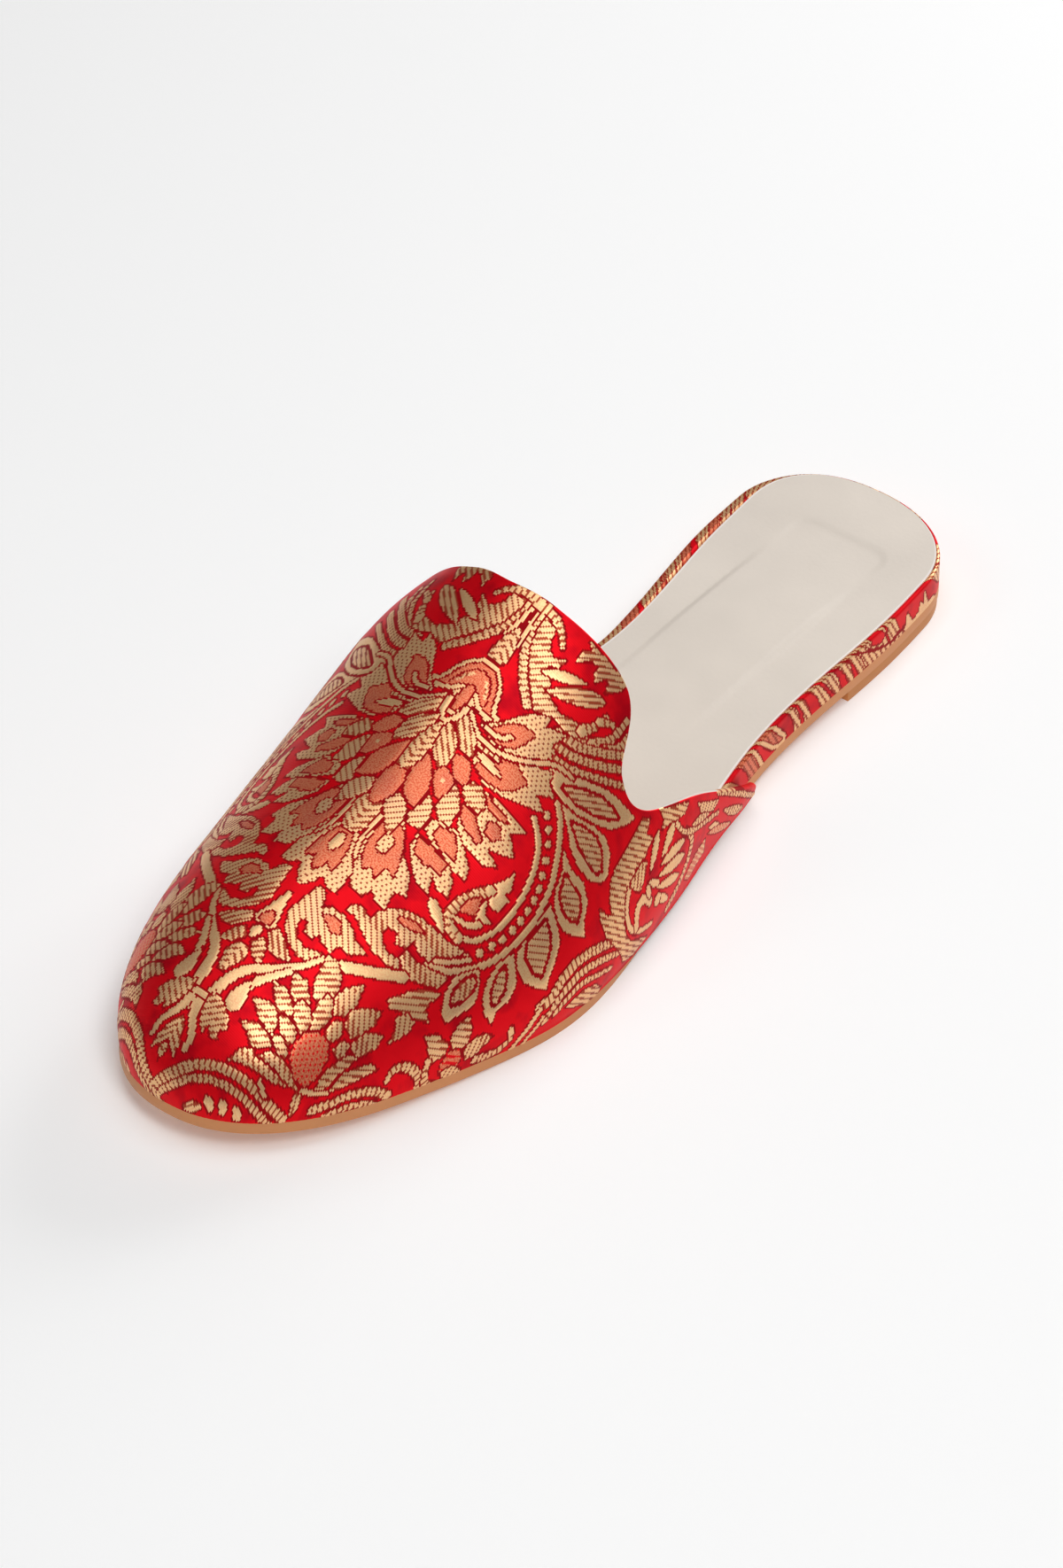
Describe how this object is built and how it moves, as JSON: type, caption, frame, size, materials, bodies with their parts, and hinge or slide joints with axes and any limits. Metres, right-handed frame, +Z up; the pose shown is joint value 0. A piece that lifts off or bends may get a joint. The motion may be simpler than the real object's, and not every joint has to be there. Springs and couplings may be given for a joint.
{
  "type": "brocade mule",
  "caption": "Backless slipper: hollow brocade vamp with notched throat and side wings, wrapped padded footbed, low flat tan sole with a thin heel lift.",
  "frame": {"origin": "middle of the heel's underside, on the floor", "axes": "+Z up, -Y towards the toe, +X to the wearer's left, which is the outer side"},
  "size_m": [0.0941, 0.2546, 0.0676],
  "materials": {
    "brocade": "red satin woven with gold and rose flowers",
    "sock_cover": "smooth matte beige",
    "sole_leather": "smooth tan",
    "heel_leather": "stacked tan edge",
    "board": "insole board and padding, hidden"
  },
  "bodies": {
    "root": {"outsole": "sole_leather", "heel": "heel_leather", "footbed": "board", "footbed_wrap": "brocade", "sock": "sock_cover", "upper": "brocade"}
  },
  "joints": []
}
